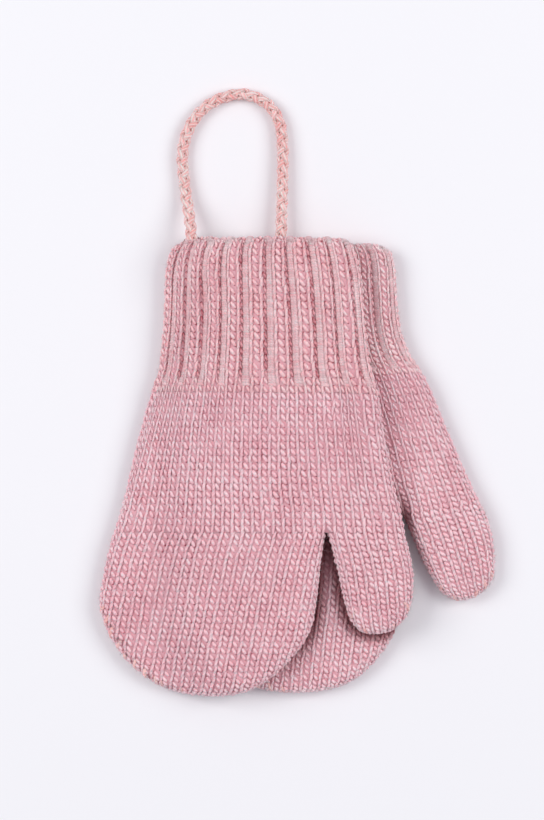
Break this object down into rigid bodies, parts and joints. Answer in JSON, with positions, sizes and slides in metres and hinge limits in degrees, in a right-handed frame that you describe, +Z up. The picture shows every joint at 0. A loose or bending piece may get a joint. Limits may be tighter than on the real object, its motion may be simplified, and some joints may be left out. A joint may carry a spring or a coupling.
{
  "type": "pair of mittens",
  "caption": "Pair of small children's knitted mittens, laid flat with one on the other: ribbed cuffs, round finger pouches, separate thumbs and a braided cord loop that joins the cuffs.",
  "frame": {"origin": "on the table under the middle of the pair, cord left out", "axes": "+X towards the thumbs, +Y from the finger tips to the cuffs, +Z up from the table"},
  "size_m": [0.1304, 0.2001, 0.0173],
  "materials": {
    "wool": "soft knitted wool with a light nap",
    "cord_yarn": "braided yarn"
  },
  "bodies": {
    "root": {"cord": "cord_yarn", "lower_cuff": "wool", "lower_fingers": "wool", "lower_palm": "wool", "lower_thumb": "wool", "upper_cuff": "wool", "upper_fingers": "wool", "upper_palm": "wool", "upper_thumb": "wool"}
  },
  "joints": []
}
